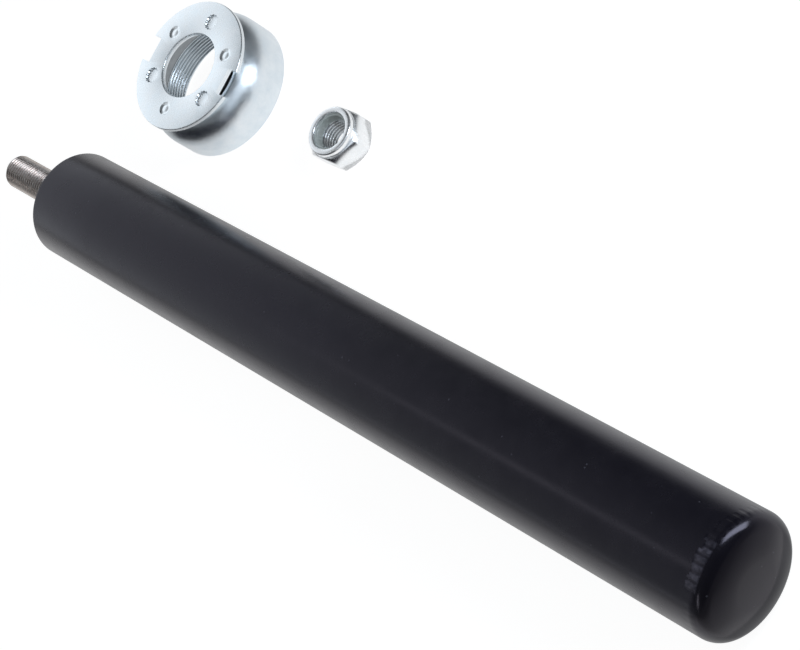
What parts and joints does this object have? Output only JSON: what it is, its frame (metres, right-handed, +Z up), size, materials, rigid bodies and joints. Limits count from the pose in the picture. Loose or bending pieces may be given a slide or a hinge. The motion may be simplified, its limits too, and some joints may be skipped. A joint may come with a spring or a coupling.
{
  "type": "shock absorber",
  "caption": "Strut insert: a sealed twin-tube damper cartridge with its rod pushed in, laid beside its collar nut and its self-locking rod nut.",
  "frame": {"origin": "centre of the flat seat of the base cap", "axes": "+X along the cartridge to the rod end, +Z up from the ground that the cartridge and both nuts lie on, nuts at -Y"},
  "size_m": [0.4109, 0.1214, 0.044],
  "materials": {
    "tube_paint": "semi-gloss black enamel",
    "cap_paint": "semi-gloss black enamel",
    "rod_steel": "ground, hard-chromed shaft and rolled stud thread",
    "zinc_plate": "bright bluish zinc plate",
    "nylon": "satin grey",
    "drawn_steel": "cold-drawn, honed bore",
    "plain_steel": "oiled bright steel",
    "spring_steel": "blued spring steel",
    "sintered_iron": "matt sintered",
    "bush_bronze": "satin bronze with a sliding layer",
    "ptfe_band": "smooth filled fluoropolymer",
    "seal_rubber": "smooth moulded nitrile"
  },
  "bodies": {
    "cartridge": {"reserve_tube": "tube_paint", "base_cap": "cap_paint", "pressure_tube": "drawn_steel", "base_valve_body": "sintered_iron", "compression_disc_1": "spring_steel", "compression_disc_2": "spring_steel", "compression_disc_3": "spring_steel", "base_valve_bolt": "plain_steel", "base_valve_nut": "plain_steel", "intake_spring_hub": "plain_steel", "intake_spring": "spring_steel", "rod_guide": "sintered_iron", "guide_bush": "bush_bronze", "guide_o_ring": "seal_rubber", "seal_disc": "plain_steel", "oil_seal": "seal_rubber", "garter_spring": "spring_steel"},
    "band": {"piston_band": "ptfe_band"},
    "rod": {"piston_rod": "rod_steel", "check_spring_hub": "plain_steel", "check_spring": "spring_steel", "piston": "sintered_iron", "piston_nut": "plain_steel", "rebound_spring": "spring_steel", "stop_ring": "plain_steel", "rebound_bumper": "seal_rubber"},
    "check_valve": {"check_plate": "spring_steel"},
    "rebound_valve": {"rebound_disc_1": "spring_steel", "rebound_disc_2": "spring_steel", "rebound_spring_seat": "plain_steel"},
    "intake_valve": {"intake_plate": "spring_steel"},
    "collar_nut": {"collar_nut_shell": "zinc_plate", "collar_nut_plate": "zinc_plate"},
    "lock_nut": {"lock_nut_body": "zinc_plate", "lock_nut_insert": "nylon"}
  },
  "joints": [
    {"name": "rod_stroke", "type": "slide", "parent": "cartridge", "child": "band", "axis": [1, 0, 0], "range_m": [0, 0.17]},
    {"name": "rod_turn", "type": "hinge", "parent": "band", "child": "rod", "pos_m": [0.2, 0, 0], "axis": [1, 0, 0], "continuous": true},
    {"name": "check_plate_lift", "type": "slide", "parent": "rod", "child": "check_valve", "axis": [1, 0, 0], "range_m": [0, 0.001], "stiffness_N_per_m": 400, "springref_m": -0.0005, "deforming": ["check_spring"]},
    {"name": "rebound_valve_lift", "type": "slide", "parent": "rod", "child": "rebound_valve", "axis": [-1, 0, 0], "range_m": [0, 0.0008], "stiffness_N_per_m": 8000, "springref_m": -0.001, "deforming": ["rebound_spring"]},
    {"name": "intake_plate_lift", "type": "slide", "parent": "cartridge", "child": "intake_valve", "axis": [1, 0, 0], "range_m": [0, 0.001], "stiffness_N_per_m": 400, "springref_m": -0.0005, "deforming": ["intake_spring"]},
    {"name": "collar_nut_lift", "type": "slide", "parent": "cartridge", "child": "collar_nut", "axis": [0, 0, 1], "range_m": [0, 0.05]},
    {"name": "lock_nut_lift", "type": "slide", "parent": "cartridge", "child": "lock_nut", "axis": [0, 0, 1], "range_m": [0, 0.05]}
  ]
}
